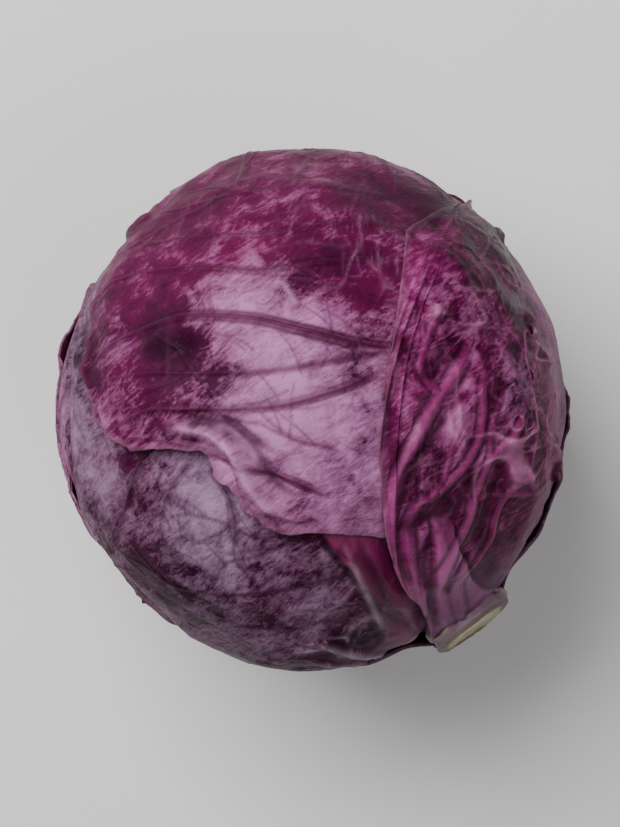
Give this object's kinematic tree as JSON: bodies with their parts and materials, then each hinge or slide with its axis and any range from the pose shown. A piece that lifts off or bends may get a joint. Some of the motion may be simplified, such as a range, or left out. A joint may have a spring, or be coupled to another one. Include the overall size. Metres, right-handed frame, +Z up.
{
  "type": "cabbage head",
  "caption": "Dense round head of red cabbage lying on its side, with waxy overlapping ribbed leaves round a packed heart and a short cut stalk.",
  "frame": {"origin": "middle of the bounding box's bottom, on the surface the head rests on", "axes": "+Z up as the head lies on its side; the stalk points between +X and -Y, a little over the horizontal; the two leaves that cover most of the top face +Z"},
  "size_m": [0.1749, 0.1778, 0.1708],
  "materials": {
    "leaf": "dark magenta to purple leaf with a waxy lavender-grey bloom, smooth and softly glossy where the bloom is rubbed off",
    "heart": "packed magenta inner leaves, smooth and softly glossy",
    "stalk": "dull greenish-cream cut face with a browned rim and paler leaf scars"
  },
  "bodies": {
    "root": {"heart": "heart", "stalk": "stalk", "wrapper_leaf_1": "leaf", "wrapper_leaf_2": "leaf", "wrapper_leaf_3": "leaf", "wrapper_leaf_4": "leaf", "wrapper_leaf_5": "leaf", "wrapper_leaf_6": "leaf", "wrapper_leaf_7": "leaf", "wrapper_leaf_8": "leaf"}
  },
  "joints": []
}
